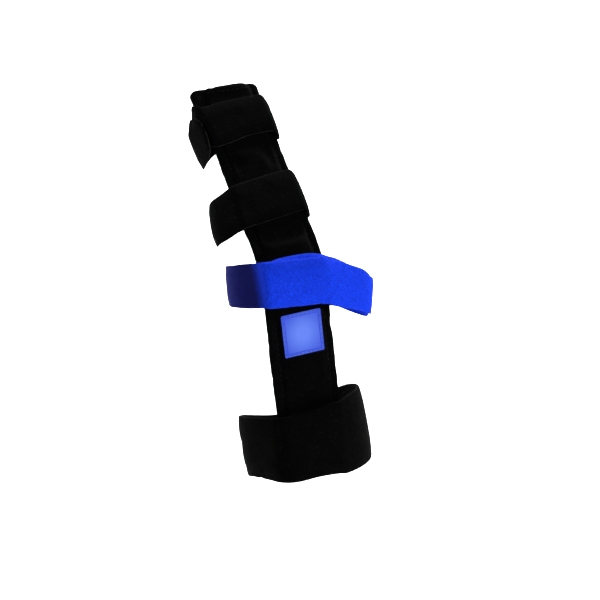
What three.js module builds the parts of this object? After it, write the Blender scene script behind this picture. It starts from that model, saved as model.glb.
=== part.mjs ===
// Finger splint for the index and middle fingers, right-sided, in its worn form.
// A padded sleeve with a flat stay inside runs from the wrist over the knuckles and along
// the two fingers. Three straps and a wrist cuff hold it, each a strip of fabric that goes
// round the limb and closes on itself.
// Millimetres. Origin: middle of the wrist hollow. +Z to the fingertips, +Y to the palm,
// +X to the little finger.
import * as THREE from "three";

// The limb that the splint is formed for
const WRIST_DEPTH = 41;
const PALM_SPAN = 54.3; // from the index knuckle's middle to the little knuckle's
const INDEX_KNUCKLE = 28.5; // thickness at the index knuckle
const LITTLE_KNUCKLE = 22; // and at the little one
const PALM_TAPER = 0.13; // narrowing of the palm towards the wrist, a share of the length
const KNUCKLE_FALL = 3; // how much deeper the little knuckle lies
const FINGER_SPACING = 20.8; // middle of index finger to middle of middle finger
const FINGER_WIDTH = 20.8; // one finger at its middle
const FINGER_TAPER = 0.08; // its narrowing towards the tip, a share of the length
const FINGERTIP_WIDTH = 16.5; // one finger near its nail
const FINGERTIP_TAPER = 0.42; // its narrowing over the last stretch
const FINGERTIP_ROUNDING = 6; // that stretch starts this far above the fingertip strap's middle
const FINGER_OFFSET = 5; // how far the pair lies to the thumb side of the sleeve
const FINGER_FLEX_DEG = 35.8; // bend at the knuckles

// Stay sleeve
const SLEEVE_WIDTH = 38;
const SLEEVE_THICKNESS = 4;
const SLEEVE_HEM = 4.5; // flat stitched border beside the stay's channel
const SLEEVE_CORNER = 4; // rounding of the corners at the fingertip end
const TIP_SPREAD = 2.8; // widening of the thumb-side hem towards that end
const TIP_SPREAD_LENGTH = 30;
const SLEEVE_ABOVE_BEND = 116.7; // bend to the fingertip end
const SLEEVE_COVER = 6; // the cuff reaches this far below the sleeve's lower end
const BEND_RADIUS = 24; // of the sleeve's outer face over the knuckles
const WRIST_TO_BEND = 97.3; // middle of the wrist cuff to the bend
const SLEEVE_OFFSET = 6.4; // sleeve's middle to the thumb side of the wrist's middle

// Straps and cuff
const STRAP_WALL = 2;
const STRAP_WIDTH = 26.5;
const CUFF_WIDTH = 42;
const CUFF_WALL = 3.2;
const CUFF_ROUND = 9; // rounding of the cuff over the sleeve's edges
const CUFF_FORM_WIDTH = 66; // the round form that the padded cuff keeps by itself
const CUFF_FORM_DEPTH = 53;
const CUFF_FORM_OFFSET = 1; // its middle, to the thumb side
const FINGERTIP_STRAP_PLACE = 92.6; // along the finger, from the bend to the strap's middle
const MIDDLE_STRAP_PLACE = 43.2;
const FINGER_STRAP_YAW_DEG = -4.5; // the thumb side lies nearer the wrist
const PALM_STRAP_PLACE = -8; // a little below the bend
const PALM_STRAP_TILT_DEG = 8;
const PALM_STRAP_YAW_DEG = 5;
const CUFF_YAW_DEG = -3.2;
const CHAMFER = 0.6; // soft cut edge of a strap
const END_BLUNTNESS = 0.03; // a rounded strap end stops this share of its radius early

// Label
const LABEL_WIDTH = 23.3;
const LABEL_HEIGHT = 23.2;
const LABEL_THICKNESS = 0.8;
const LABEL_CORNER = 0.8;
const LABEL_BELOW_BEND = 35.7;
const LABEL_CORNER_SEGMENTS = 4;

// Clearances
const SKIN_GAP = 0.3; // limb to fabric
const LAYER_GAP = 0.35; // between two layers, or strap and sleeve

// Fabric colours and roughness
const BLACK = 0x0b0b0c;
const BLACK_ROUGHNESS = 0.9;
const BLUE = 0x163ce4;
const BLUE_ROUGHNESS = 0.85;
const LABEL_BLUE = 0x4a63e8;
const LABEL_ROUGHNESS = 0.6;

// Fineness of the meshes
const LOWER_RINGS = 4; // of the sleeve below the bend
const BEND_RINGS = 10;
const FINGER_RINGS = 3;
const SPREAD_RINGS = 5; // where the hem widens
const CORNER_DEGREES = [25, 45, 65, 82]; // rings through the rounded corners
const LOOP_DIRECTIONS = 360;
const BISECTIONS = 40;
const SLOPE_STEP = 0.01; // of a turn, to measure how steeply a strap climbs

const FLEX = THREE.MathUtils.degToRad(FINGER_FLEX_DEG);
const DORSAL_Y = -(WRIST_DEPTH / 2 + SKIN_GAP + SLEEVE_THICKNESS);
const ACROSS = [-1, -0.55, 0, 0.55, 1]; // places across a strap, as shares of its half width
const SLEEVE_BELOW_BEND = WRIST_TO_BEND + CUFF_WIDTH / 2 - SLEEVE_COVER;

// Sleeve section from the thumb side to the little finger's: across as a share of the half
// width outside the hems, rise and sink as shares of the thickness
const SLEEVE_SECTION = [
  { part: "hem", across: 1.0, outer: 0.5, inner: 0.15 },
  { part: "hem", across: 0.88, outer: 0.74, inner: 0.0 },
  { part: "hem", across: 0.25, outer: 0.78, inner: 0.0 },
  { part: "hem", across: 0.0, outer: 0.66, inner: 0.04 },
  { part: "channel", across: 0.94, outer: 0.88, inner: 0.0 },
  { part: "channel", across: 0.85, outer: 1.0, inner: 0.0 },
  { part: "channel", across: 0.0, outer: 1.0, inner: 0.0 },
];

// Point on a plane of a limb: u across, v deep, w along the limb
class Frame {
  constructor(origin, tilt, yaw) {
    const turn = new THREE.Matrix4().makeRotationX(-tilt);
    turn.multiply(new THREE.Matrix4().makeRotationY(yaw));
    this.origin = origin;
    this.u = new THREE.Vector3(1, 0, 0).applyMatrix4(turn);
    this.v = new THREE.Vector3(0, 1, 0).applyMatrix4(turn);
    this.w = new THREE.Vector3(0, 0, 1).applyMatrix4(turn);
  }
  point(u, v, w) {
    return this.origin
      .clone()
      .addScaledVector(this.u, u)
      .addScaledVector(this.v, v)
      .addScaledVector(this.w, w);
  }
  local(p) {
    const d = p.clone().sub(this.origin);
    return { u: d.dot(this.u), v: d.dot(this.v), w: d.dot(this.w) };
  }
}

const bendPoint = new THREE.Vector3(-SLEEVE_OFFSET, DORSAL_Y, WRIST_TO_BEND);

// A place on the sleeve's outer face, s millimetres along it from the bend, and the
// direction into the limb there
function sleevePlace(s) {
  const tangent = BEND_RADIUS * Math.tan(FLEX / 2);
  const arc = BEND_RADIUS * FLEX;
  const angle = THREE.MathUtils.clamp((s + arc / 2) / BEND_RADIUS, 0, FLEX);
  const straight = s < 0 ? Math.min(s + arc / 2, 0) : Math.max(s - arc / 2, 0);
  const along = new THREE.Vector3(0, Math.sin(angle), Math.cos(angle));
  const deep = new THREE.Vector3(0, Math.cos(angle), -Math.sin(angle));
  const centre = bendPoint.clone().add(new THREE.Vector3(0, BEND_RADIUS, -tangent));
  const point = centre.addScaledVector(deep, -BEND_RADIUS).addScaledVector(along, straight);
  return { point, along, deep };
}

// How far s runs on the sleeve's face for a distance measured from the sharp bend point
function bendDistance(distance) {
  const saved = BEND_RADIUS * (Math.tan(FLEX / 2) - FLEX / 2);
  return distance - Math.sign(distance) * saved;
}

// Closed surface through rings of equally many points, with a cap at each end
function loft(rings, caps) {
  const count = rings[0].length;
  const position = rings.flat().flatMap((p) => [p.x, p.y, p.z]);
  const index = [];
  for (let i = 0; i + 1 < rings.length; i += 1) {
    for (let j = 0; j < count; j += 1) {
      const a = i * count + j;
      const b = i * count + ((j + 1) % count);
      index.push(a, b, b + count, a, b + count, a + count);
    }
  }
  const last = (rings.length - 1) * count;
  for (const [a, b, c] of caps) {
    index.push(c, b, a);
    index.push(last + a, last + b, last + c);
  }
  const geometry = new THREE.BufferGeometry();
  geometry.setAttribute("position", new THREE.Float32BufferAttribute(position, 3));
  geometry.setIndex(index);
  geometry.computeVertexNormals();
  return geometry;
}

// Triangles that close a ring made of an inner row and the same row back outside
function rowCaps(across) {
  const caps = [];
  const size = 2 * across;
  for (let i = 0; i + 1 < across; i += 1) {
    const back = size - 1 - i;
    caps.push([i, i + 1, back - 1], [i, back - 1, back]);
  }
  return caps;
}

// How much wider the thumb-side hem is, s millimetres along the sleeve
function tipSpread(s) {
  const end = bendDistance(SLEEVE_ABOVE_BEND);
  return TIP_SPREAD * THREE.MathUtils.smoothstep(s, end - TIP_SPREAD_LENGTH, end - SLEEVE_CORNER);
}

function sleeveRing(s, half) {
  const place = sleevePlace(s);
  const channel = half - SLEEVE_HEM;
  const rowsOf = (hem, side) =>
    SLEEVE_SECTION.map((row) => ({
      x: side * (row.part === "hem" ? channel + row.across * hem : channel * row.across),
      outer: row.outer,
      inner: row.inner,
    }));
  const thumbSide = rowsOf(SLEEVE_HEM + tipSpread(s), -1).slice(0, -1).reverse();
  const rows = [...rowsOf(SLEEVE_HEM, 1), ...thumbSide];
  const at = (x, rise) =>
    place.point
      .clone()
      .add(new THREE.Vector3(x, 0, 0))
      .addScaledVector(place.deep, SLEEVE_THICKNESS * (1 - rise));
  const inner = rows.map((r) => at(r.x, r.inner));
  const outer = rows.map((r) => at(r.x, r.outer)).reverse();
  return [...inner, ...outer];
}

function staySleeve() {
  const low = -SLEEVE_BELOW_BEND;
  const high = bendDistance(SLEEVE_ABOVE_BEND);
  const arc = (BEND_RADIUS * FLEX) / 2;
  const corner = SLEEVE_CORNER;
  const rings = [];
  const half = SLEEVE_WIDTH / 2;
  const straight = (from, to, count) => {
    for (let i = 1; i <= count; i += 1) {
      rings.push(sleeveRing(THREE.MathUtils.lerp(from, to, i / count), half));
    }
  };
  rings.push(sleeveRing(low, half));
  straight(low, -arc, LOWER_RINGS);
  straight(-arc, arc, BEND_RINGS);
  straight(arc, high - TIP_SPREAD_LENGTH, FINGER_RINGS);
  straight(high - TIP_SPREAD_LENGTH, high - corner, SPREAD_RINGS);
  for (const degrees of CORNER_DEGREES) {
    const turn = THREE.MathUtils.degToRad(degrees);
    const narrow = half - corner * (1 - Math.cos(turn));
    rings.push(sleeveRing(high - corner * (1 - Math.sin(turn)), narrow));
  }
  return loft(rings, rowCaps(rings[0].length / 2));
}

// Sleeve's corners where the plane at height w of a strap's frame cuts it, as small discs
function sleeveCorners(frame, w) {
  let low = -SLEEVE_BELOW_BEND - SLEEVE_WIDTH;
  let high = SLEEVE_ABOVE_BEND + SLEEVE_WIDTH;
  for (let i = 0; i < BISECTIONS; i += 1) {
    const middle = (low + high) / 2;
    if (frame.local(sleevePlace(middle).point).w < w) low = middle;
    else high = middle;
  }
  const place = frame.local(sleevePlace(low).point);
  const round = SLEEVE_THICKNESS / 2;
  const reach = SLEEVE_WIDTH / 2 - round;
  const spread = tipSpread(low);
  const disc = (u, v, r) => ({ u: place.u + u, v: place.v + v, a: r, b: r });
  const edge = SLEEVE_WIDTH / 2 - round / 2;
  return [
    disc(-reach - spread, round, round),
    disc(reach, round, round),
    disc(-edge - spread, SLEEVE_THICKNESS - round / 2, round / 2),
    disc(edge, SLEEVE_THICKNESS - round / 2, round / 2),
  ];
}

// Tight loop round a set of ellipses in one plane, counted from the sleeve's side round by
// the little finger's side. at(turn) gives the place and the outward direction.
function snugLoop(ellipses, gap, middle) {
  const corners = [];
  for (let i = 0; i < LOOP_DIRECTIONS; i += 1) {
    const angle = -Math.PI / 2 + (i / LOOP_DIRECTIONS) * 2 * Math.PI;
    const n = { u: Math.cos(angle), v: Math.sin(angle) };
    let best = null;
    for (const e of ellipses) {
      const reach = Math.hypot(e.a * n.u, e.b * n.v);
      const height = e.u * n.u + e.v * n.v + reach;
      if (!best || height > best.height) {
        const u = e.u + (e.a * e.a * n.u) / reach + gap * n.u;
        const v = e.v + (e.b * e.b * n.v) / reach + gap * n.v;
        best = { height, u, v, angle };
      }
    }
    corners.push(best);
  }
  const fine = [];
  corners.forEach((p, i) => {
    const q = corners[(i + 1) % LOOP_DIRECTIONS];
    const turn = (2 * Math.PI) / LOOP_DIRECTIONS;
    const length = Math.hypot(q.u - p.u, q.v - p.v);
    const pieces = Math.max(1, Math.ceil(length));
    for (let k = 0; k < pieces; k += 1) {
      const share = k / pieces;
      fine.push({
        u: THREE.MathUtils.lerp(p.u, q.u, share),
        v: THREE.MathUtils.lerp(p.v, q.v, share),
        angle: p.angle + turn * share,
        length: length / pieces,
        turn: turn / pieces,
      });
    }
  });
  const total = fine.reduce((sum, p) => sum + p.length, 0);
  const marks = [0];
  for (const p of fine) {
    marks.push(marks.at(-1) + (p.length / total + p.turn / (2 * Math.PI)) / 2);
  }
  const start = fine.findIndex((p, i) => {
    const q = fine[(i + 1) % fine.length];
    return Math.sin(p.angle) < 0 && p.u <= middle && q.u > middle;
  });
  const next = fine[(start + 1) % fine.length];
  const startShare = (middle - fine[start].u) / (next.u - fine[start].u);
  const startMark = THREE.MathUtils.lerp(marks[start], marks[start + 1], startShare);
  const at = (turn) => {
    const mark = turn + startMark;
    const share = mark - Math.floor(mark);
    let i = 0;
    while (i + 1 < fine.length && marks[i + 1] <= share) i += 1;
    const k = (share - marks[i]) / (marks[i + 1] - marks[i]);
    const p = fine[i];
    const q = fine[(i + 1) % fine.length];
    const angle = p.angle + p.turn * k;
    return {
      u: THREE.MathUtils.lerp(p.u, q.u, k),
      v: THREE.MathUtils.lerp(p.v, q.v, k),
      n: { u: Math.cos(angle), v: Math.sin(angle) },
    };
  };
  return { at, length: total };
}

// Value of one column of a table at a turn of the strap, on a smooth curve through its rows
function tableValue(table, column, turn) {
  const last = table.length - 1;
  const place = THREE.MathUtils.clamp(turn, table[0].turn, table[last].turn);
  let i = 0;
  while (i + 1 < last && table[i + 1].turn < place) i += 1;
  const run = (k) => table[k + 1].turn - table[k].turn;
  const rise = (k) => table[k + 1][column] - table[k][column];
  const secant = (k) => (k < 0 || k >= last ? 0 : rise(k) / run(k));
  const slope = (k) => {
    const product = secant(k - 1) * secant(k);
    return product > 0 ? (2 * product) / (secant(k - 1) + secant(k)) : 0;
  };
  const x = (place - table[i].turn) / run(i);
  const a = table[i][column] * (1 + 2 * x) * (1 - x) ** 2 + run(i) * slope(i) * x * (1 - x) ** 2;
  const b = table[i + 1][column] * x * x * (3 - 2 * x) + run(i) * slope(i + 1) * x * x * (x - 1);
  return a + b;
}

// A strip of fabric wound once round the limb and a little over itself
function wrappedStrip(strap) {
  const { frame, width, wall, shape, steps } = strap;
  const loops = new Map();
  const loopAt = (w) => {
    if (!loops.has(w)) {
      const around = [...strap.limb(w), ...sleeveCorners(frame, w)];
      loops.set(w, snugLoop(around, LAYER_GAP, strap.middle));
    }
    return loops.get(w);
  };
  const length = loopAt(0).length;
  const slideAt = (turn) => width * tableValue(shape, "slide", turn);
  const rings = [];
  for (let j = 0; j <= steps; j += 1) {
    const turn = THREE.MathUtils.lerp(strap.start, strap.end, j / steps);
    const climb = THREE.MathUtils.smoothstep(turn, strap.start + 1 - strap.ramp, strap.start + 1);
    const lift = climb * (wall + LAYER_GAP);
    const climbed = slideAt(turn + SLOPE_STEP) - slideAt(turn - SLOPE_STEP);
    const slope = climbed / (2 * SLOPE_STEP * length);
    const square = Math.hypot(1, slope);
    const left = ((strap.end - turn) * length) / (width / 2);
    const round = strap.roundEnd && left < 1;
    const narrow = round ? Math.sqrt(1 - (1 - Math.max(left, END_BLUNTNESS)) ** 2) : 1;
    const half = (narrow * tableValue(shape, "wide", turn) * width) / 2 / square;
    const low = width * tableValue(shape, "low", turn);
    const high = width * tableValue(shape, "high", turn);
    const at = (share, out) => {
      const across = share * half;
      const w = across + slideAt(turn);
      const place = loopAt(w).at(turn - (slope * across) / length);
      const stand = THREE.MathUtils.lerp(low, high, ((1 + share) / 2) ** 2);
      const reach = lift + out + stand;
      return frame.point(place.u + place.n.u * reach, place.v + place.n.v * reach, w);
    };
    const inner = ACROSS.map((share) => at(share, Math.abs(share) === 1 ? CHAMFER : 0));
    const outer = ACROSS.map((share) => at(share, wall - (Math.abs(share) === 1 ? CHAMFER : 0)));
    rings.push([...inner, ...outer.reverse()]);
  }
  return loft(rings, rowCaps(ACROSS.length));
}

// How each strip is wound, in turns counted from the sleeve's middle: where it starts and
// ends, and the share of a turn over which it climbs on its own start
const WINDING = {
  fingertip: { start: -0.3, end: 0.84, ramp: 0.12, roundEnd: true, steps: 76 },
  middle: { start: -0.62, end: 0.5, ramp: 0.1, roundEnd: false, steps: 76 },
  palm: { start: -0.03, end: 1.2, ramp: 0.12, roundEnd: false, steps: 90 },
  cuff: { start: -0.6, end: 0.52, ramp: 0.1, roundEnd: false, steps: 84 },
};

const fingerFrame = (distance) => {
  const yaw = THREE.MathUtils.degToRad(FINGER_STRAP_YAW_DEG);
  return new Frame(sleevePlace(bendDistance(distance)).point, FLEX, yaw);
};

// The two fingers side by side, seen along them
function fingers(width) {
  const r = width / 2;
  const v = SLEEVE_THICKNESS + SKIN_GAP + r;
  return [-1, 1].map((side) => ({
    u: -FINGER_OFFSET + (side * FINGER_SPACING * width) / FINGER_WIDTH / 2,
    v,
    a: r,
    b: r,
  }));
}

// How each strip lies, by turns: low and high lift its two edges off the limb, wide and
// slide set its width and its place along the limb, all as shares of the strip's width
const FINGERTIP_SHAPE = [
  { turn: -0.3, low: 0, high: 0, wide: 1, slide: 0.12 },
  { turn: -0.2, low: 0, high: 0, wide: 1, slide: 0.12 },
  { turn: -0.1, low: 0, high: 0, wide: 1, slide: -0.01 },
  { turn: 0, low: 0, high: 0, wide: 0.93, slide: 0.05 },
  { turn: 0.1, low: 0, high: 0, wide: 0.94, slide: 0.02 },
  { turn: 0.18, low: 0, high: 0, wide: 1, slide: -0.12 },
  { turn: 0.32, low: 0, high: 0, wide: 0.95, slide: 0.1 },
  { turn: 0.5, low: 0, high: 0, wide: 0.86, slide: 0.26 },
  { turn: 0.63, low: 0, high: 0, wide: 0.97, slide: 0.1 },
  { turn: 0.73, low: 0, high: 0, wide: 1.08, slide: -0.1 },
  { turn: 0.83, low: 0, high: 0, wide: 1.12, slide: -0.02 },
];

function fingertipStrap() {
  return wrappedStrip({
    frame: fingerFrame(FINGERTIP_STRAP_PLACE),
    width: STRAP_WIDTH,
    wall: STRAP_WALL,
    middle: 0,
    limb: (w) => {
      const rounding = FINGERTIP_TAPER * Math.max(w - FINGERTIP_ROUNDING, 0);
      return fingers(FINGERTIP_WIDTH - rounding);
    },
    shape: FINGERTIP_SHAPE,
    ...WINDING.fingertip,
  });
}

const MIDDLE_SHAPE = [
  { turn: -0.62, low: 0, high: 0, wide: 0.82, slide: 0.28 },
  { turn: -0.5, low: 0.02, high: 0, wide: 0.82, slide: 0.28 },
  { turn: -0.38, low: 0.08, high: 0, wide: 0.84, slide: 0.16 },
  { turn: -0.27, low: 0.13, high: 0, wide: 0.96, slide: -0.01 },
  { turn: -0.16, low: 0.06, high: 0, wide: 1, slide: -0.06 },
  { turn: -0.07, low: 0, high: 0, wide: 1, slide: -0.05 },
  { turn: 0.06, low: 0, high: 0, wide: 1, slide: 0 },
  { turn: 0.19, low: 0, high: 0, wide: 1, slide: -0.13 },
  { turn: 0.34, low: 0, high: 0, wide: 0.92, slide: 0.13 },
  { turn: 0.5, low: 0.02, high: 0, wide: 0.82, slide: 0.28 },
];

function middleFingerStrap() {
  return wrappedStrip({
    frame: fingerFrame(MIDDLE_STRAP_PLACE),
    width: STRAP_WIDTH,
    wall: STRAP_WALL,
    middle: 0,
    limb: (w) => fingers(FINGER_WIDTH - FINGER_TAPER * w),
    shape: MIDDLE_SHAPE,
    ...WINDING.middle,
  });
}

const PALM_SHAPE = [
  { turn: -0.03, low: 0, high: 0, wide: 1, slide: 0 },
  { turn: 0.01, low: 0, high: 0, wide: 1.04, slide: 0.06 },
  { turn: 0.03, low: 0, high: 0, wide: 1.02, slide: 0.06 },
  { turn: 0.08, low: 0, high: 0, wide: 0.88, slide: -0.12 },
  { turn: 0.12, low: 0, high: 0, wide: 0.81, slide: -0.275 },
  { turn: 0.16, low: 0, high: 0, wide: 0.79, slide: -0.41 },
  { turn: 0.27, low: 0, high: 0, wide: 0.8, slide: -0.535 },
  { turn: 0.5, low: 0, high: 0, wide: 0.88, slide: -0.14 },
  { turn: 0.75, low: 0, high: 0, wide: 0.85, slide: 0.03 },
  { turn: 0.9, low: 0, high: 0, wide: 0.94, slide: 0.02 },
  { turn: 1.03, low: 0, high: 0, wide: 0.98, slide: 0 },
  { turn: 1.08, low: 0, high: 0, wide: 0.88, slide: -0.13 },
  { turn: 1.12, low: 0, high: 0, wide: 0.81, slide: -0.29 },
  { turn: 1.16, low: 0, high: 0, wide: 0.785, slide: -0.43 },
  { turn: 1.27, low: 0, high: 0, wide: 0.785, slide: -0.54 },
];

function palmStrap() {
  const under = SLEEVE_THICKNESS + SKIN_GAP;
  const index = INDEX_KNUCKLE / 2;
  const little = LITTLE_KNUCKLE / 2;
  const side = -FINGER_OFFSET - FINGER_SPACING / 2;
  const limb = (w) => [
    { u: side, v: under + index, a: index, b: index },
    { u: side + PALM_SPAN + w * PALM_TAPER, v: under + KNUCKLE_FALL + little, a: little, b: little },
  ];
  return wrappedStrip({
    frame: new Frame(
      sleevePlace(PALM_STRAP_PLACE).point,
      THREE.MathUtils.degToRad(PALM_STRAP_TILT_DEG),
      THREE.MathUtils.degToRad(PALM_STRAP_YAW_DEG),
    ),
    width: STRAP_WIDTH,
    wall: STRAP_WALL,
    middle: 0,
    limb,
    shape: PALM_SHAPE,
    ...WINDING.palm,
  });
}

const CUFF_SHAPE = [
  { turn: -0.6, low: 0.02, high: 0, wide: 0.88, slide: -0.38 },
  { turn: -0.5, low: 0.02, high: 0, wide: 0.86, slide: -0.42 },
  { turn: -0.25, low: 0.02, high: 0, wide: 0.85, slide: -0.04 },
  { turn: -0.1, low: 0.01, high: 0, wide: 0.915, slide: 0.015 },
  { turn: -0.05, low: 0, high: 0, wide: 0.935, slide: 0.01 },
  { turn: 0, low: 0, high: 0, wide: 0.96, slide: 0 },
  { turn: 0.06, low: 0, high: 0, wide: 1.03, slide: -0.04 },
  { turn: 0.11, low: 0, high: 0, wide: 1.065, slide: -0.07 },
  { turn: 0.25, low: 0.03, high: -0.01, wide: 1.055, slide: -0.14 },
  { turn: 0.5, low: 0.02, high: 0, wide: 0.86, slide: -0.42 },
];

// A larger disc that covers a small one from the outside
function roundCover(disc, radius) {
  const inward = (radius - disc.a) * Math.SQRT1_2;
  return { u: disc.u - Math.sign(disc.u) * inward, v: disc.v + inward, a: radius, b: radius };
}

function wristCuff() {
  const frame = new Frame(new THREE.Vector3(), 0, THREE.MathUtils.degToRad(CUFF_YAW_DEG));
  return wrappedStrip({
    frame,
    width: CUFF_WIDTH,
    wall: CUFF_WALL,
    middle: -SLEEVE_OFFSET,
    limb: (w) => [
      { u: -CUFF_FORM_OFFSET, v: 0, a: CUFF_FORM_WIDTH / 2, b: CUFF_FORM_DEPTH / 2 },
      ...sleeveCorners(frame, w)
        .slice(0, 2)
        .map((corner) => roundCover(corner, CUFF_ROUND)),
    ],
    shape: CUFF_SHAPE,
    ...WINDING.cuff,
  });
}

function label() {
  const w = LABEL_WIDTH / 2 - LABEL_CORNER;
  const h = LABEL_HEIGHT / 2 - LABEL_CORNER;
  const outline = new THREE.Shape();
  outline.absarc(w, h, LABEL_CORNER, 0, Math.PI / 2, false);
  outline.absarc(-w, h, LABEL_CORNER, Math.PI / 2, Math.PI, false);
  outline.absarc(-w, -h, LABEL_CORNER, Math.PI, 1.5 * Math.PI, false);
  outline.absarc(w, -h, LABEL_CORNER, 1.5 * Math.PI, 2 * Math.PI, false);
  const flat = new THREE.ExtrudeGeometry(outline, {
    depth: LABEL_THICKNESS,
    bevelEnabled: false,
    curveSegments: LABEL_CORNER_SEGMENTS,
  });
  return flat.rotateX(Math.PI / 2);
}

function fabric(colour, roughness) {
  return new THREE.MeshStandardMaterial({ color: colour, roughness, metalness: 0 });
}

function piece(name, geometry, material) {
  const mesh = new THREE.Mesh(geometry, material);
  mesh.name = name;
  return mesh;
}

const black = fabric(BLACK, BLACK_ROUGHNESS);
const blue = fabric(BLUE, BLUE_ROUGHNESS);
const splint = new THREE.Group();
splint.add(
  piece("stay_sleeve", staySleeve(), black),
  piece("fingertip_strap", fingertipStrap(), black),
  piece("middle_finger_strap", middleFingerStrap(), black),
  piece("palm_strap", palmStrap(), blue),
  piece("wrist_cuff", wristCuff(), black),
);
const patch = piece("label", label(), fabric(LABEL_BLUE, LABEL_ROUGHNESS));
patch.position.copy(sleevePlace(-LABEL_BELOW_BEND).point);
patch.position.y -= LAYER_GAP;
splint.add(patch);

export default splint;
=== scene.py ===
import math

import bpy
from mathutils import Matrix, Vector
from mathutils.bvhtree import BVHTree


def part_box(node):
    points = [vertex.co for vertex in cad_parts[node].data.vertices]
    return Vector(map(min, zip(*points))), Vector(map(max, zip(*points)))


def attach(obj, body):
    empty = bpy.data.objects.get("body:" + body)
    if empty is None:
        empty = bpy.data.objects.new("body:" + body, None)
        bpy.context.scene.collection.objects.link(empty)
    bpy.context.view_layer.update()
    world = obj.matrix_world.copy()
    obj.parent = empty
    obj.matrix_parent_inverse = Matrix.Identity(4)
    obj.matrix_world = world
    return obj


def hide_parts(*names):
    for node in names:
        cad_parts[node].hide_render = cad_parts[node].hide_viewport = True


# Worn finger splint: a padded sleeve with a flat stay inside, two black straps, a blue loop
# strap, a padded wrist cuff and a woven label. Metres, +Z to the fingertips, -Y outwards.
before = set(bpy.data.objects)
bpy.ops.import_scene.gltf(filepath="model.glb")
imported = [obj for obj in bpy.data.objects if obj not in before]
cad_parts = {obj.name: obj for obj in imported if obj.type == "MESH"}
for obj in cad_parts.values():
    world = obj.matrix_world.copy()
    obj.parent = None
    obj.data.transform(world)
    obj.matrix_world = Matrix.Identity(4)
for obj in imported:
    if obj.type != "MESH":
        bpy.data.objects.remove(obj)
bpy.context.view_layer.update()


# Camera
# It stands on the thumb side and a little above the splint's back, on a long lens. Its place
# is given from the bend of the sleeve.
BEND = Vector((-0.0064, -0.0248, 0.0973))
VIEW_SIDE = math.radians(23.8)
VIEW_ABOVE = math.radians(13.9)
VIEW_ROLL = math.radians(-6.3)
VIEW_DISTANCE = 0.7
BEND_RIGHT_OF_MIDDLE = -0.0027
BEND_ABOVE_MIDDLE = 0.0171
LENS_MM = 79.2
SENSOR_MM = 36

towards_camera = Vector((
    -math.sin(VIEW_SIDE) * math.cos(VIEW_ABOVE),
    -math.cos(VIEW_SIDE) * math.cos(VIEW_ABOVE),
    math.sin(VIEW_ABOVE),
))
level_right = Vector((0, 0, 1)).cross(towards_camera).normalized()
level_up = towards_camera.cross(level_right)
right = math.cos(VIEW_ROLL) * level_right + math.sin(VIEW_ROLL) * level_up
up = math.cos(VIEW_ROLL) * level_up - math.sin(VIEW_ROLL) * level_right

bpy.ops.object.select_all(action="DESELECT")
bpy.ops.object.camera_add()
camera = bpy.context.object
camera.data.lens = LENS_MM
camera.data.sensor_width = SENSOR_MM
place = BEND + VIEW_DISTANCE * towards_camera
place -= BEND_RIGHT_OF_MIDDLE * right + BEND_ABOVE_MIDDLE * up
turned = Matrix((right, up, towards_camera)).transposed().to_4x4()
camera.matrix_world = Matrix.Translation(place) @ turned
bpy.context.scene.camera = camera


# Studio
# A plain white sweep under and behind the splint, one soft key light on the little finger's
# side, so that the thumb side falls into shade, and lamps for the sweep alone.
FLOOR_BELOW = 0.34
SWEEP_WIDTH = 5.0
SWEEP_FRONT = 1.6
SWEEP_BACK = 2.2
SWEEP_HEIGHT = 3.0
SWEEP_RADIUS = 0.9
SWEEP_SEGMENTS = 16
PAPER_ROUGHNESS = 0.9
PAPER_SPECULAR = 0.1
WHITE = (0.86, 0.86, 0.86, 1)
KEY_WATTS = 14
KEY_SIZE = 0.35
KEY_PLACE = Vector((0.84, -0.95, 0.62))
FILL_STRENGTH = 0.06
SWEEP_LIGHT_SIZE = 0.8
LEFT_WATTS = 75
LEFT_PLACE = (-1.4, 1.1, 1.6)
LEFT_TARGET = (0, 1.8, 0)
RIGHT_WATTS = 150
RIGHT_PLACE = (1.4, 0.9, 1.6)
RIGHT_TARGET = (0, 1.6, 0)

bpy.ops.mesh.primitive_plane_add(size=1, location=(0, 0, -FLOOR_BELOW))
sweep = bpy.context.object
sweep.name = "studio_sweep"
sweep.scale = (SWEEP_WIDTH, SWEEP_FRONT + SWEEP_BACK, 1)
sweep.location.y = (SWEEP_BACK - SWEEP_FRONT) / 2
bpy.ops.object.transform_apply(location=True, rotation=False, scale=True)
bpy.ops.object.mode_set(mode="EDIT")
bpy.ops.mesh.select_mode(type="EDGE")
bpy.ops.mesh.select_all(action="DESELECT")
bpy.ops.object.mode_set(mode="OBJECT")
for edge in sweep.data.edges:
    edge.select = all(sweep.data.vertices[i].co.y > SWEEP_BACK / 2 for i in edge.vertices)
bpy.ops.object.mode_set(mode="EDIT")
bpy.ops.mesh.extrude_region_move(TRANSFORM_OT_translate={"value": (0, 0, SWEEP_HEIGHT)})
bpy.ops.object.mode_set(mode="OBJECT")
bpy.ops.object.modifier_add(type="BEVEL")
sweep.modifiers["Bevel"].width = SWEEP_RADIUS
sweep.modifiers["Bevel"].segments = SWEEP_SEGMENTS
bpy.ops.object.modifier_apply(modifier="Bevel")
bpy.ops.object.shade_smooth()
paper = bpy.data.materials.new("studio_paper")
paper.use_nodes = True
shader = paper.node_tree.nodes["Principled BSDF"]
shader.inputs["Base Color"].default_value = WHITE
shader.inputs["Roughness"].default_value = PAPER_ROUGHNESS
shader.inputs["Specular IOR Level"].default_value = PAPER_SPECULAR
sweep.data.materials.append(paper)


def area_light(name, place, target, size, watts):
    """A square lamp that faces its target."""
    bpy.ops.object.light_add(type="AREA", location=place)
    lamp = bpy.context.object
    lamp.name = name
    lamp.rotation_euler = (Vector(target) - Vector(place)).to_track_quat("-Z", "Y").to_euler()
    lamp.data.size = size
    lamp.data.energy = watts


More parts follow.
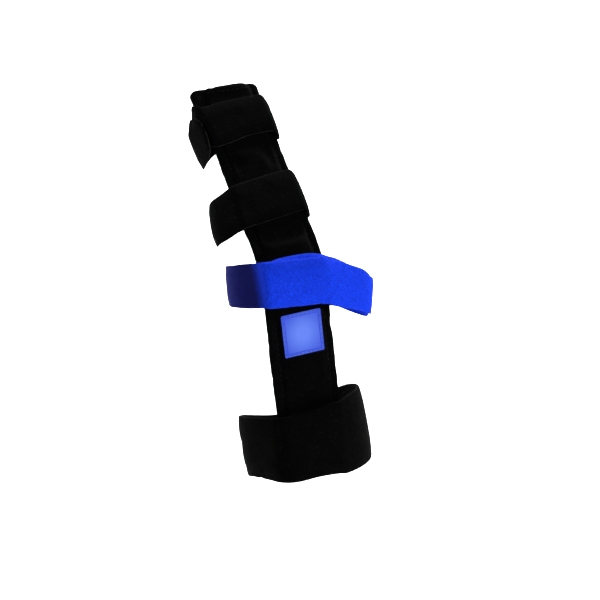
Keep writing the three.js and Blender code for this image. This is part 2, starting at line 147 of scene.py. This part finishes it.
area_light("key_light", KEY_PLACE, BEND, KEY_SIZE, KEY_WATTS)
area_light("sweep_light_left", LEFT_PLACE, LEFT_TARGET, SWEEP_LIGHT_SIZE, LEFT_WATTS)
area_light("sweep_light_right", RIGHT_PLACE, RIGHT_TARGET, SWEEP_LIGHT_SIZE, RIGHT_WATTS)

world = bpy.data.worlds.new("studio_air")
bpy.context.scene.world = world
world.use_nodes = True
world.node_tree.nodes["Background"].inputs["Color"].default_value = (1, 1, 1, 1)
world.node_tree.nodes["Background"].inputs["Strength"].default_value = FILL_STRENGTH
bpy.context.scene.view_settings.view_transform = "Standard"


# Stay sleeve
# A long flat pocket of padded black fabric round the stay. Two rows of stitching hold the stay
# in the middle and leave a soft hem on both sides. The fabric swells between the straps.
SLEEVE_MIDDLE = BEND.x
SLEEVE_FLEX = math.radians(35.8)
SEAM_FROM_MIDDLE = 0.0145
SLEEVE_GRID = 0.002
SLEEVE_END = 0.1166
BEND_ROOM = 0.008
SEAM_SOFTNESS = 0.0035
PUCKER_REACH = 0.004
PRESS_SOFTNESS = 0.005
SLEEVE_SWELL = 0.0008
SLEEVE_PRESSURE = 4
SIMULATION_FRAMES = 20
SEAM_PUCKER = 0.00022
PUCKER_PITCH = 0.0042
BLACK_SLEEVE = (0.0012, 0.0012, 0.0013, 1)
SLEEVE_NAP = 1400
SLEEVE_NAP_DEPTH = 0.0002
RIB_PITCH = 0.0009
MERGE_WITHIN = 0.00001
FLATTEST_QUAD = math.radians(60)
SQUAREST_QUAD = math.radians(75)
# Settings of the cloth that swells, which weighs little and has 3% to spare
CLOTH_STEPS = 5
CLOTH_MASS = 0.2
CLOTH_SPARE = -0.03
# Finish of every black fabric: shares of its colour in worn and deep places, and its nap
DULL_SPECULAR = 0.012
FUZZ_SHEEN = 0.002
FUZZ_ROUGHNESS = 0.4
WEAR_SCALE = 120
DEEP_SHARE = 0.55
WORN_SHARE = 1.8
NAP_ROUGHNESS = (0.78, 1.0)
NAP_BUMP = 0.6
RIB_BUMP = 0.35
RIB_WAVER = 0.4
# Stretches of the sleeve, from the bend, that a strap or the cuff presses flat
PRESSED = [(-0.125, -0.070), (-0.026, 0.008), (0.026, 0.060), (0.076, 0.110)]


def start_piece(node, name):
    """A new piece that starts as the clean, quad-faced form of a CAD node."""
    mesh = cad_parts[node].data.copy()
    piece = bpy.data.objects.new(name, mesh)
    bpy.context.scene.collection.objects.link(piece)
    mesh.materials.clear()
    bpy.ops.object.select_all(action="DESELECT")
    piece.select_set(True)
    bpy.context.view_layer.objects.active = piece
    bpy.ops.object.mode_set(mode="EDIT")
    bpy.ops.mesh.select_all(action="SELECT")
    bpy.ops.mesh.remove_doubles(threshold=MERGE_WITHIN)
    bpy.ops.mesh.tris_convert_to_quads(face_threshold=FLATTEST_QUAD, shape_threshold=SQUAREST_QUAD)
    bpy.ops.object.mode_set(mode="OBJECT")
    if mesh.has_custom_normals:
        bpy.ops.mesh.customdata_custom_splitnormals_clear()
    return piece


def cut_grid(piece, origin, direction, first, last, step):
    """Straight cuts across the whole piece, a step apart along one direction."""
    bpy.ops.object.mode_set(mode="EDIT")
    count = max(1, round((last - first) / step))
    for k in range(1, count):
        bpy.ops.mesh.select_all(action="SELECT")
        at = Vector(origin) + Vector(direction) * (first + (last - first) * k / count)
        bpy.ops.mesh.bisect(plane_co=at, plane_no=direction)
    bpy.ops.object.mode_set(mode="OBJECT")


def subdivide(piece):
    """One round of smooth subdivision, applied."""
    bpy.ops.object.modifier_add(type="SUBSURF")
    piece.modifiers["Subdivision"].levels = 1
    piece.modifiers["Subdivision"].render_levels = 1
    bpy.ops.object.modifier_apply(modifier="Subdivision")


def smoothstep(x):
    """0 below 0 and 1 above 1, with a soft rise between."""
    x = min(max(x, 0), 1)
    return x * x * (3 - 2 * x)


def puff(piece, pinned, allowed, pressure, cap):
    """Swells a closed piece with a cloth simulation. Pinned points stay, and a point moves by
    no more than the cap times its allowed share."""
    rest = [v.co.copy() for v in piece.data.vertices]
    group = piece.vertex_groups.new(name="held")
    group.add([v.index for v in piece.data.vertices if pinned(v.co)], 1, "REPLACE")
    bpy.ops.object.modifier_add(type="CLOTH")
    cloth = piece.modifiers["Cloth"].settings
    cloth.quality = CLOTH_STEPS
    cloth.mass = CLOTH_MASS
    cloth.use_pressure = True
    cloth.uniform_pressure_force = pressure
    cloth.shrink_min = CLOTH_SPARE
    cloth.vertex_group_mass = "held"
    cloth.effector_weights.gravity = 0
    for number in range(1, SIMULATION_FRAMES + 1):
        bpy.context.scene.frame_set(number)
    bpy.ops.object.modifier_apply(modifier="Cloth")
    bpy.context.scene.frame_set(1)
    for vertex, old in zip(piece.data.vertices, rest):
        move = vertex.co - old
        limit = cap * allowed(old)
        if move.length > limit:
            move = move.normalized() * limit
        vertex.co = old + move
    piece.vertex_groups.clear()


def along_sleeve(point):
    """Distance from the bend along the sleeve, positive towards the fingertips."""
    from_bend = point - BEND
    along_fingers = from_bend.y * math.sin(SLEEVE_FLEX) + from_bend.z * math.cos(SLEEVE_FLEX)
    return along_fingers if along_fingers + from_bend.z > 0 else from_bend.z


def free_share(point):
    """0 where a strap presses the sleeve, 1 in the middle of a free stretch."""
    s = along_sleeve(point)
    gaps = [max(low - s, s - high) for low, high in PRESSED]
    return smoothstep(min(gaps) / PRESS_SOFTNESS)


def seam_share(point, softness):
    """0 on a row of stitching, 1 away from it."""
    return smoothstep(abs(abs(point.x - SLEEVE_MIDDLE) - SEAM_FROM_MIDDLE) / softness)


def wave_scale(pitch):
    """The scale that makes a wave texture's bands lie one pitch apart."""
    return 1 / (20 * pitch) * 2 * math.pi


def black_fabric(name, colour, nap_scale, nap_depth, rib_axis=None, rib_pitch=0.0):
    """Dull black fabric: fine fibres, faint cloudy wear, and ribs where the cloth is knitted."""
    material = bpy.data.materials.new(name)
    material.use_nodes = True
    nodes, links = material.node_tree.nodes, material.node_tree.links
    shader = nodes["Principled BSDF"]
    shader.inputs["Specular IOR Level"].default_value = DULL_SPECULAR
    shader.inputs["Sheen Weight"].default_value = FUZZ_SHEEN
    shader.inputs["Sheen Roughness"].default_value = FUZZ_ROUGHNESS
    coordinates = nodes.new("ShaderNodeTexCoord")
    clouds = nodes.new("ShaderNodeTexNoise")
    clouds.inputs["Scale"].default_value = WEAR_SCALE
    clouds.inputs["Detail"].default_value = 3
    links.new(coordinates.outputs["Object"], clouds.inputs["Vector"])
    fibres = nodes.new("ShaderNodeTexNoise")
    fibres.inputs["Scale"].default_value = nap_scale
    fibres.inputs["Detail"].default_value = 4
    links.new(coordinates.outputs["Object"], fibres.inputs["Vector"])
    tone = nodes.new("ShaderNodeMix")
    tone.data_type = "RGBA"
    tone.inputs["A"].default_value = tuple(DEEP_SHARE * c for c in colour[:3]) + (1,)
    tone.inputs["B"].default_value = tuple(WORN_SHARE * c for c in colour[:3]) + (1,)
    links.new(clouds.outputs["Fac"], tone.inputs["Factor"])
    links.new(tone.outputs["Result"], shader.inputs["Base Color"])
    rough = nodes.new("ShaderNodeMapRange")
    rough.inputs["To Min"].default_value = NAP_ROUGHNESS[0]
    rough.inputs["To Max"].default_value = NAP_ROUGHNESS[1]
    links.new(fibres.outputs["Fac"], rough.inputs["Value"])
    links.new(rough.outputs["Result"], shader.inputs["Roughness"])
    bump = nodes.new("ShaderNodeBump")
    bump.inputs["Strength"].default_value = NAP_BUMP
    bump.inputs["Distance"].default_value = nap_depth
    links.new(fibres.outputs["Fac"], bump.inputs["Height"])
    if rib_axis:
        ribs = nodes.new("ShaderNodeTexWave")
        ribs.bands_direction = rib_axis
        ribs.inputs["Scale"].default_value = wave_scale(rib_pitch)
        ribs.inputs["Distortion"].default_value = RIB_WAVER
        links.new(coordinates.outputs["Object"], ribs.inputs["Vector"])
        rib_bump = nodes.new("ShaderNodeBump")
        rib_bump.inputs["Strength"].default_value = RIB_BUMP
        rib_bump.inputs["Distance"].default_value = nap_depth
        links.new(ribs.outputs["Fac"], rib_bump.inputs["Height"])
        links.new(bump.outputs["Normal"], rib_bump.inputs["Normal"])
        bump = rib_bump
    links.new(bump.outputs["Normal"], shader.inputs["Normal"])
    return material


sleeve = start_piece("stay_sleeve", "sleeve_body")
sleeve_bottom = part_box("stay_sleeve")[0].z
cut_grid(sleeve, (SLEEVE_MIDDLE, 0, 0), (1, 0, 0), -SEAM_FROM_MIDDLE, SEAM_FROM_MIDDLE, SLEEVE_GRID)
cut_grid(sleeve, (0, 0, 0), (0, 0, 1), sleeve_bottom, BEND.z - BEND_ROOM, SLEEVE_GRID)
finger_way = (0, math.sin(SLEEVE_FLEX), math.cos(SLEEVE_FLEX))
cut_grid(sleeve, BEND, finger_way, BEND_ROOM, SLEEVE_END, SLEEVE_GRID)
puff(
    sleeve,
    pinned=lambda p: seam_share(p, SEAM_SOFTNESS) < 0.1,
    allowed=lambda p: free_share(p) * seam_share(p, SEAM_SOFTNESS),
    pressure=SLEEVE_PRESSURE,
    cap=SLEEVE_SWELL,
)
for vertex in sleeve.data.vertices:
    near_seam = 1 - seam_share(vertex.co, PUCKER_REACH)
    ripple = math.sin(2 * math.pi * along_sleeve(vertex.co) / PUCKER_PITCH)
    depth = SEAM_PUCKER * near_seam * (ripple - 1) * free_share(vertex.co)
    vertex.co += vertex.normal * depth
subdivide(sleeve)
bpy.ops.object.shade_smooth()
sleeve_fabric = black_fabric(
    "sleeve_fabric", BLACK_SLEEVE, SLEEVE_NAP, SLEEVE_NAP_DEPTH, "X", RIB_PITCH
)
sleeve.data.materials.append(sleeve_fabric)
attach(sleeve, "root")
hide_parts("stay_sleeve")


# Stitching of the sleeve
# Two long rows of lock stitch in dull black thread beside the stay and one row across it near
# the fingertip end. Each stitch is a short strand that sinks into the padding.
THREAD_BLACK = (0.008, 0.008, 0.0085, 1)
STITCH_PITCH = 0.0029
STITCH_LENGTH = 0.0019
THREAD_RADIUS = 0.0002
THREAD_SIDES = 6
THREAD_RINGS = 4
THREAD_TWIST = 3000
THREAD_TWIST_DEPTH = 0.0001
FIRST_STITCH = -0.0685
LAST_STITCH = 0.113
CROSS_ROW = 0.1128
RAY_START = 0.03
HIDDEN_SHARE = 0.02


def stitch_form(name, length, radius):
    """One strand of thread, long in Z, at the origin."""
    bpy.ops.mesh.primitive_uv_sphere_add(
        segments=THREAD_SIDES, ring_count=THREAD_RINGS, radius=radius
    )
    strand = bpy.context.object
    strand.name = name
    strand.scale.z = length / 2 / radius
    bpy.ops.object.transform_apply(location=False, rotation=False, scale=True)
    bpy.ops.object.shade_smooth()
    return strand


def sew(strand, places, material):
    """Copies of a strand at each place, which is a point and the way the thread runs."""
    copies = [strand]
    for _ in places[1:]:
        copy = strand.copy()
        copy.data = strand.data.copy()
        bpy.context.scene.collection.objects.link(copy)
        copies.append(copy)
    for copy, (point, way) in zip(copies, places):
        copy.location = point
        copy.rotation_euler = Vector(way).to_track_quat("Z", "Y").to_euler()
    bpy.ops.object.select_all(action="DESELECT")
    for copy in copies:
        copy.select_set(True)
    bpy.context.view_layer.objects.active = strand
    bpy.ops.object.join()
    bpy.ops.object.transform_apply(location=True, rotation=True, scale=True)
    strand.data.materials.append(material)
    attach(strand, "root")


sleeve_skin = BVHTree.FromObject(sleeve, bpy.context.evaluated_depsgraph_get())


def on_sleeve(x, s):
    """Point on the sleeve's outer face, the way along the sleeve there, and how free of the
    straps the sleeve is there."""
    flex = SLEEVE_FLEX if s > 0 else 0
    way = Vector((0, math.sin(flex), math.cos(flex)))
    inward = Vector((0, math.cos(flex), -math.sin(flex)))
    centre_line = Vector((0, BEND.y, BEND.z)) + s * way
    start = centre_line + Vector((x, 0, 0)) - RAY_START * inward
    hit = sleeve_skin.ray_cast(start, inward)[0]
    return hit, way, free_share(centre_line)


rows = []
for side in (-1, 1):
    s = FIRST_STITCH
    while s < LAST_STITCH:
        point, way, free = on_sleeve(SLEEVE_MIDDLE + side * SEAM_FROM_MIDDLE, s)
        if point and free > HIDDEN_SHARE:
            rows.append((point, way))
        s += STITCH_PITCH
x = -SEAM_FROM_MIDDLE
while x < SEAM_FROM_MIDDLE:
    point = on_sleeve(SLEEVE_MIDDLE + x, CROSS_ROW)[0]
    if point:
        rows.append((point, Vector((1, 0, 0))))
    x += STITCH_PITCH
thread = black_fabric("sleeve_thread", THREAD_BLACK, THREAD_TWIST, THREAD_TWIST_DEPTH)
stitch = stitch_form("sleeve_stitching", STITCH_LENGTH, THREAD_RADIUS)
sew(stitch, rows, thread)


# Finger straps
# Two strips of soft black loop fabric, each wrapped once round the sleeve's front part and
# closed on its own start. They are cut from a foam-backed sheet, so a thin, slightly paler
# core shows along the cut edge; that paler edge is also a painted highlight where the rims catch
# the light.
BLACK_STRAP = (0.0012, 0.0012, 0.0012, 1)
STRAP_NAP = 1100
STRAP_NAP_DEPTH = 0.0004
# Paler cut edge: partly the foam core, partly a painted highlight along the strap rims
CORE_AND_HIGHLIGHT_EDGE = (0.014, 0.014, 0.013, 1)
CORE_GRAIN = 1600
CORE_GRAIN_DEPTH = 0.0002
EDGE_FACE = 0.00105
EDGE_FACING = 0.35
CLOTH_UNEVEN = 0.0005
SWELL_SIZE = 0.012
LONG_EDGE = 0.0035
STRAP_CUTS = 3
SOFTENING = 0.5
STRAP_SOFTENINGS = 3
# Length of each strap along its middle, with its overlap
FINGERTIP_LENGTH = 0.143
MIDDLE_LENGTH = 0.158


def split_long_edges(piece, longest, cuts):
    """Subdivides the edges that run across a strip, so that its faces get about square."""
    bpy.ops.object.mode_set(mode="EDIT")
    bpy.ops.mesh.select_mode(type="EDGE")
    bpy.ops.mesh.select_all(action="DESELECT")
    bpy.ops.object.mode_set(mode="OBJECT")
    points = piece.data.vertices
    for edge in piece.data.edges:
        a, b = edge.vertices
        edge.select = (points[a].co - points[b].co).length > longest
    bpy.ops.object.mode_set(mode="EDIT")
    bpy.ops.mesh.subdivide(number_cuts=cuts, smoothness=0)
    bpy.ops.object.mode_set(mode="OBJECT")


def uneven(piece, depth, size):
    """Soft hollows and swells, as cloth has them."""
    clouds = bpy.data.textures.new(piece.name + "_swells", "CLOUDS")
    clouds.noise_scale = size
    bpy.ops.object.modifier_add(type="DISPLACE")
    displace = piece.modifiers["Displace"]
    displace.texture = clouds
    displace.texture_coords = "LOCAL"
    displace.mid_level = 0.5
    displace.strength = depth
    bpy.ops.object.modifier_apply(modifier="Displace")


def mark_cut_edge(piece, middle, along):
    """The second material goes on the narrow faces of a strip's cut edge, which face sideways
    or along the strip, and not outwards or inwards."""
    points = piece.data.vertices
    for face in piece.data.polygons:
        ring = list(face.vertices)
        sides = [(points[a].co - points[b].co).length for a, b in zip(ring, ring[1:] + ring[:1])]
        outward = face.center - middle
        outward -= outward.dot(along) * along
        if min(sides) < EDGE_FACE and abs(face.normal.dot(outward.normalized())) < EDGE_FACING:
            face.material_index = 1


def soften(piece, times):
    """Rounds the edges of a piece a little, as soft cloth has them."""
    bpy.ops.object.modifier_add(type="SMOOTH")
    piece.modifiers["Smooth"].factor = SOFTENING
    piece.modifiers["Smooth"].iterations = times
    bpy.ops.object.modifier_apply(modifier="Smooth")


def finish_strap(piece, node, along, material, edge_material):
    """Softens a strip, gives it its materials and hangs it on the root body. The way along the
    part, square to the strip's loop, tells its cut edges from its faces."""
    piece.data.materials.append(material)
    piece.data.materials.append(edge_material)
    low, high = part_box(node)
    mark_cut_edge(piece, (low + high) / 2, Vector(along))
    split_long_edges(piece, LONG_EDGE, STRAP_CUTS)
    soften(piece, STRAP_SOFTENINGS)
    subdivide(piece)
    uneven(piece, CLOTH_UNEVEN, SWELL_SIZE)
    bpy.ops.object.shade_smooth()
    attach(piece, "root")
    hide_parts(node)


strap_fabric = black_fabric("strap_fabric", BLACK_STRAP, STRAP_NAP, STRAP_NAP_DEPTH)
strap_core_and_highlight_edge = black_fabric("strap_core_and_painted_highlight", CORE_AND_HIGHLIGHT_EDGE, CORE_GRAIN, CORE_GRAIN_DEPTH)
for node, name, length in [
    ("fingertip_strap", "fingertip_strap_cloth", FINGERTIP_LENGTH),
    ("middle_finger_strap", "middle_strap_cloth", MIDDLE_LENGTH),
]:
    strap = start_piece(node, name)
    finish_strap(strap, node, finger_way, strap_fabric, strap_core_and_highlight_edge)


# Palm strap
# A blue strip of loop pile with cut edges, in one length. It goes once round, lies over
# itself in two layers on the outer side, and closes there over its own sewn end.
BLUE = (0.0036, 0.035, 0.67, 1)
BLUE_EDGE = (0.0015, 0.011, 0.20, 1)
# The thumb side is painted navy: a painted shade where the strap turns away from the key light
NAVY_PAINTED_SHADE = (0.0036, 0.0052, 0.085, 1)
PAINTED_SHADE_ENDS = -0.0243
PAINTED_SHADE_FADE = 0.006
PALM_WAY = (0, 0.14, 0.99)
# Finish of the pile: shares of its colour between and on the loops, and their size
PILE_SPECULAR = 0.1
PILE_ROUGHNESS = 0.95
LOOP_SCALE = 1300
TUFT_SCALE = 1350
TUFT_RANGE = (0.34, 0.66)
PILE_DEEP = (0.65, 0.65, 0.76)
PILE_BRIGHT = (1.8, 1.5, 1.25)
PILE_BUMP = 0.5
PILE_DEPTH = 0.0003


def blue_pile(name, colour):
    """Dull loop pile with a fine speckle, and a painted shade that turns it navy towards the thumb
    side.
    The label's thread has the same finish."""

    def shaded(shares):
        return tuple(c * share for c, share in zip(colour[:3], shares)) + (1,)

    material = bpy.data.materials.new(name)
    material.use_nodes = True
    nodes, links = material.node_tree.nodes, material.node_tree.links
    shader = nodes["Principled BSDF"]
    shader.inputs["Specular IOR Level"].default_value = PILE_SPECULAR
    shader.inputs["Roughness"].default_value = PILE_ROUGHNESS
    coordinates = nodes.new("ShaderNodeTexCoord")
    loops = nodes.new("ShaderNodeTexVoronoi")
    loops.inputs["Scale"].default_value = LOOP_SCALE
    links.new(coordinates.outputs["Object"], loops.inputs["Vector"])
    tufts = nodes.new("ShaderNodeTexNoise")
    tufts.inputs["Scale"].default_value = TUFT_SCALE
    tufts.inputs["Detail"].default_value = 3
    links.new(coordinates.outputs["Object"], tufts.inputs["Vector"])
    tone = nodes.new("ShaderNodeMix")
    tone.data_type = "RGBA"
    tone.inputs["A"].default_value = shaded(PILE_DEEP)
    tone.inputs["B"].default_value = shaded(PILE_BRIGHT)
    speckle = nodes.new("ShaderNodeMapRange")
    speckle.inputs["From Min"].default_value = TUFT_RANGE[0]
    speckle.inputs["From Max"].default_value = TUFT_RANGE[1]
    links.new(tufts.outputs["Fac"], speckle.inputs["Value"])
    links.new(speckle.outputs["Result"], tone.inputs["Factor"])
    split = nodes.new("ShaderNodeSeparateXYZ")
    links.new(coordinates.outputs["Object"], split.inputs["Vector"])
    # Painted shade: navy mixed in towards the thumb side, along the object's X
    painted_shade_mask = nodes.new("ShaderNodeMapRange")
    painted_shade_mask.interpolation_type = "SMOOTHSTEP"
    painted_shade_mask.inputs["From Min"].default_value = PAINTED_SHADE_ENDS - PAINTED_SHADE_FADE
    painted_shade_mask.inputs["From Max"].default_value = PAINTED_SHADE_ENDS
    links.new(split.outputs["X"], painted_shade_mask.inputs["Value"])
    painted_shade_mix = nodes.new("ShaderNodeMix")
    painted_shade_mix.data_type = "RGBA"
    painted_shade_mix.inputs["A"].default_value = NAVY_PAINTED_SHADE
    links.new(painted_shade_mask.outputs["Result"], painted_shade_mix.inputs["Factor"])
    links.new(tone.outputs["Result"], painted_shade_mix.inputs["B"])
    links.new(painted_shade_mix.outputs["Result"], shader.inputs["Base Color"])
    bump = nodes.new("ShaderNodeBump")
    bump.inputs["Strength"].default_value = PILE_BUMP
    bump.inputs["Distance"].default_value = PILE_DEPTH
    links.new(loops.outputs["Distance"], bump.inputs["Height"])
    links.new(bump.outputs["Normal"], shader.inputs["Normal"])
    return material


palm_strap = start_piece("palm_strap", "palm_strap_cloth")
pile = blue_pile("blue_pile", BLUE)
pile_edge = blue_pile("blue_cut_edge", BLUE_EDGE)
finish_strap(palm_strap, "palm_strap", PALM_WAY, pile, pile_edge)


# Wrist cuff
# A wide padded band of black fabric on foam, with plain cut edges. It holds the sleeve's lower
# end against its inner face and closes over its own start on the palm side.
BLACK_CUFF = (0.0012, 0.0012, 0.0012, 1)
CUFF_NAP = 1000
CUFF_NAP_DEPTH = 0.0004
CLOSED_SIDE = 0.018
CLOSED_SOFTNESS = 0.01
SLEEVE_REACH = 0.022
OVER_SLEEVE = 0.35
CUFF_CUTS = 4
CUFF_SOFTENINGS = 4
CUFF_SWELL = 0.0004
CUFF_PRESSURE = 3


def cuff_swell(point):
    """0 on the closed palm side, little over the sleeve and 1 elsewhere."""
    share = OVER_SLEEVE if abs(point.x - SLEEVE_MIDDLE) < SLEEVE_REACH else 1
    return smoothstep((CLOSED_SIDE - point.y) / CLOSED_SOFTNESS) * share


cuff = start_piece("wrist_cuff", "wrist_cuff_pad")
split_long_edges(cuff, LONG_EDGE, CUFF_CUTS)
soften(cuff, CUFF_SOFTENINGS)
puff(
    cuff,
    pinned=lambda p: p.y > CLOSED_SIDE,
    allowed=cuff_swell,
    pressure=CUFF_PRESSURE,
    cap=CUFF_SWELL,
)
subdivide(cuff)
bpy.ops.object.shade_smooth()
cuff.data.materials.append(black_fabric("cuff_fabric", BLACK_CUFF, CUFF_NAP, CUFF_NAP_DEPTH))
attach(cuff, "root")
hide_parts("wrist_cuff")


# Label
# A small woven patch of lighter blue satin, sewn to the sleeve just below the palm strap with
# fine thread near its edges. It has a plain woven frame.
LABEL_BLUE = (0.038, 0.088, 0.66, 1)
# Painted highlight: the satin is painted paler towards the label's middle
LABEL_PAINTED_HIGHLIGHT = (0.115, 0.215, 0.85, 1)
LABEL_FRAME = (0.02, 0.06, 0.62, 1)
FRAME_INSET = 0.0016
FRAME_LINE = 0.0006
WEFT_PITCH = 0.0004
WEFT_WAVER = 0.3
WEFT_BUMP = 0.5
WEFT_DEPTH = 0.0001
SATIN_ROUGHNESS = 0.55
SATIN_SPECULAR = 0.2
LABEL_THREAD = (0.02, 0.05, 0.5, 1)
HIGHLIGHT_FROM = 0.003
HIGHLIGHT_TO = 0.0135
EDGE_SEAM_INSET = 0.0008
EDGE_SEAM_PITCH = 0.0025
EDGE_STITCH_LENGTH = 0.0017
EDGE_THREAD_RADIUS = 0.00016

label = start_piece("label", "label_patch")
label_low, label_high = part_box("label")
label_middle = (label_low + label_high) / 2
weave = bpy.data.materials.new("label_weave")
weave.use_nodes = True
nodes, links = weave.node_tree.nodes, weave.node_tree.links
shader = nodes["Principled BSDF"]
shader.inputs["Roughness"].default_value = SATIN_ROUGHNESS
shader.inputs["Specular IOR Level"].default_value = SATIN_SPECULAR
coordinates = nodes.new("ShaderNodeTexCoord")
from_middle = nodes.new("ShaderNodeVectorMath")
from_middle.operation = "DISTANCE"
from_middle.inputs[1].default_value = label_middle
links.new(coordinates.outputs["Object"], from_middle.inputs[0])
# Painted highlight, fading from the label's middle outwards
painted_highlight_mask = nodes.new("ShaderNodeMapRange")
painted_highlight_mask.inputs["From Min"].default_value = HIGHLIGHT_FROM
painted_highlight_mask.inputs["From Max"].default_value = HIGHLIGHT_TO
painted_highlight_mask.inputs["To Min"].default_value = 1
painted_highlight_mask.inputs["To Max"].default_value = 0
links.new(from_middle.outputs["Value"], painted_highlight_mask.inputs["Value"])
satin_and_highlight = nodes.new("ShaderNodeMix")
satin_and_highlight.data_type = "RGBA"
satin_and_highlight.inputs["A"].default_value = LABEL_BLUE
satin_and_highlight.inputs["B"].default_value = LABEL_PAINTED_HIGHLIGHT
links.new(painted_highlight_mask.outputs["Result"], satin_and_highlight.inputs["Factor"])
split = nodes.new("ShaderNodeSeparateXYZ")
links.new(coordinates.outputs["Object"], split.inputs["Vector"])
insets = []
sides = (("X", label_low.x, label_high.x), ("Z", label_low.z, label_high.z))
for axis, low_side, high_side in sides:
    off_middle = nodes.new("ShaderNodeMath")
    off_middle.operation = "SUBTRACT"
    off_middle.inputs[1].default_value = (low_side + high_side) / 2
    links.new(split.outputs[axis], off_middle.inputs[0])
    size = nodes.new("ShaderNodeMath")
    size.operation = "ABSOLUTE"
    links.new(off_middle.outputs["Value"], size.inputs[0])
    inset = nodes.new("ShaderNodeMath")
    inset.operation = "SUBTRACT"
    inset.inputs[0].default_value = (high_side - low_side) / 2
    links.new(size.outputs["Value"], inset.inputs[1])
    insets.append(inset)
nearest = nodes.new("ShaderNodeMath")
nearest.operation = "MINIMUM"
links.new(insets[0].outputs["Value"], nearest.inputs[0])
links.new(insets[1].outputs["Value"], nearest.inputs[1])
line = nodes.new("ShaderNodeMath")
line.operation = "COMPARE"
line.inputs[1].default_value = FRAME_INSET
line.inputs[2].default_value = FRAME_LINE / 2
links.new(nearest.outputs["Value"], line.inputs[0])
framed = nodes.new("ShaderNodeMix")
framed.data_type = "RGBA"
framed.inputs["B"].default_value = LABEL_FRAME
links.new(line.outputs["Value"], framed.inputs["Factor"])
links.new(satin_and_highlight.outputs["Result"], framed.inputs["A"])
links.new(framed.outputs["Result"], shader.inputs["Base Color"])
weft = nodes.new("ShaderNodeTexWave")
weft.bands_direction = "Z"
weft.inputs["Scale"].default_value = wave_scale(WEFT_PITCH)
weft.inputs["Distortion"].default_value = WEFT_WAVER
links.new(coordinates.outputs["Object"], weft.inputs["Vector"])
ridges = nodes.new("ShaderNodeBump")
ridges.inputs["Strength"].default_value = WEFT_BUMP
ridges.inputs["Distance"].default_value = WEFT_DEPTH
links.new(weft.outputs["Fac"], ridges.inputs["Height"])
links.new(ridges.outputs["Normal"], shader.inputs["Normal"])
label.data.materials.append(weave)
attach(label, "root")
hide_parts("label")

face_middle = Vector((label_middle.x, label_low.y, label_middle.z))
reach = 0.5 * (label_high.x - label_low.x) - EDGE_SEAM_INSET
seam = []
for side in (-1, 1):
    for k in range(-4, 5):
        across = k * EDGE_SEAM_PITCH
        seam.append((face_middle + Vector((side * reach, 0, across)), (0, 0, 1)))
        seam.append((face_middle + Vector((across, 0, side * reach)), (1, 0, 0)))
label_thread = blue_pile("label_thread", LABEL_THREAD)
edge_stitch = stitch_form("label_stitching", EDGE_STITCH_LENGTH, EDGE_THREAD_RADIUS)
sew(edge_stitch, seam, label_thread)
